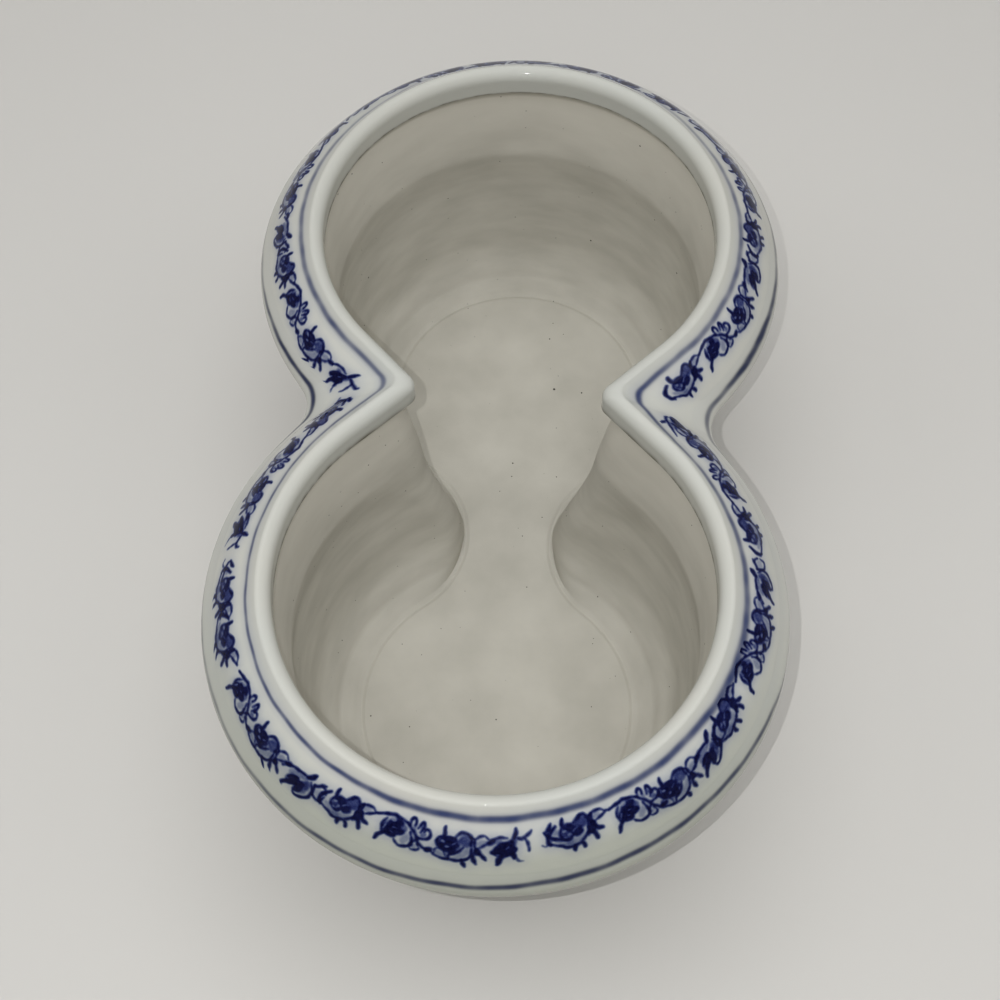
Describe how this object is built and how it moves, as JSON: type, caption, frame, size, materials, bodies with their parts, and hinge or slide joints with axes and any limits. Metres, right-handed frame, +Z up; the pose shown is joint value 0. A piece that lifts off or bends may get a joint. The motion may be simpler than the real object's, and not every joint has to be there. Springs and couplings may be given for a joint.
{
  "type": "double cachepot",
  "caption": "Conjoined double cachepot in glazed porcelain: two round bowls in a figure-of-eight plan, open to each other, with a broad sloping rim and a foot ring.",
  "frame": {"origin": "under the middle of the waist, on the plane that the foot ring stands on", "axes": "+Z up; Y is the long axis through both bowl centres; X is across the waist"},
  "size_m": [0.1912, 0.332, 0.1249],
  "materials": {
    "unglazed_porcelain": null,
    "glazed_porcelain": null
  },
  "bodies": {
    "root": {"porcelain_body": "unglazed_porcelain", "outer_glaze": "glazed_porcelain"}
  },
  "joints": []
}
